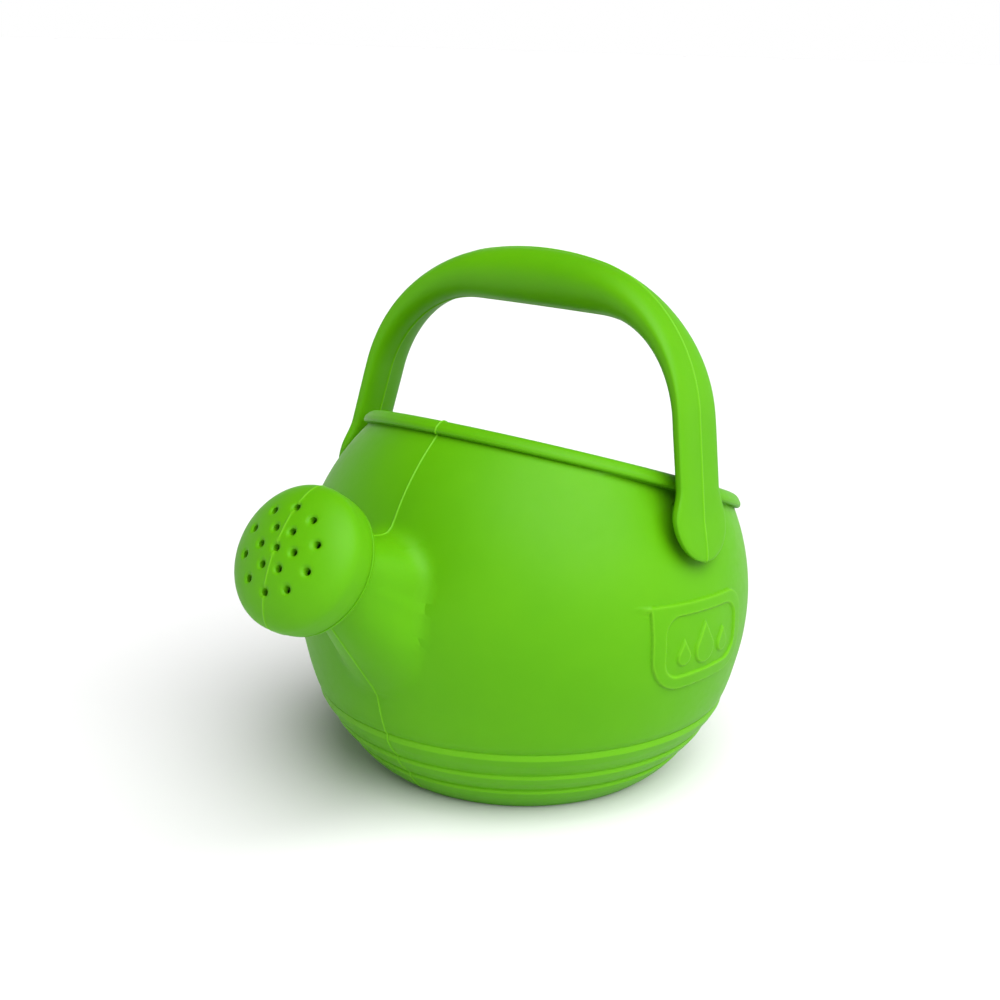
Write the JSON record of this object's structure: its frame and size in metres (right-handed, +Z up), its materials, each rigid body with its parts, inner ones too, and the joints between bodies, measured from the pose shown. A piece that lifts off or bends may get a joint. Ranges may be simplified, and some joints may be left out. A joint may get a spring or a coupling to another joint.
{
  "type": "watering can",
  "caption": "Child's watering can: a round soft bowl with a slanted mouth, a fat conical spout with a pull-off rose, and a swinging carrying handle.",
  "frame": {"origin": "middle of the round foot, on the ground", "axes": "+Z up, +X the way the spout points, +Y to the left of somebody who looks along +X"},
  "size_m": [0.1619, 0.1258, 0.1413],
  "materials": {
    "silicone_green": "satin silicone, moulded in one bright green",
    "stud_green": "firm moulded plastic, darker green"
  },
  "bodies": {
    "can": {"can_body": "silicone_green"},
    "rose": {"rose": "silicone_green"},
    "handle": {"handle": "silicone_green", "pivot_stud_left": "stud_green", "pivot_stud_right": "stud_green"}
  },
  "joints": [
    {"name": "handle_swing", "type": "hinge", "parent": "can", "child": "handle", "pos_m": [0.003, 0, 0.0794], "axis": [0, 1, 0], "range_deg": [-30, 45]},
    {"name": "rose_pull", "type": "slide", "parent": "can", "child": "rose", "axis": [0.8572, 0, 0.515], "range_m": [0, 0.012]}
  ]
}
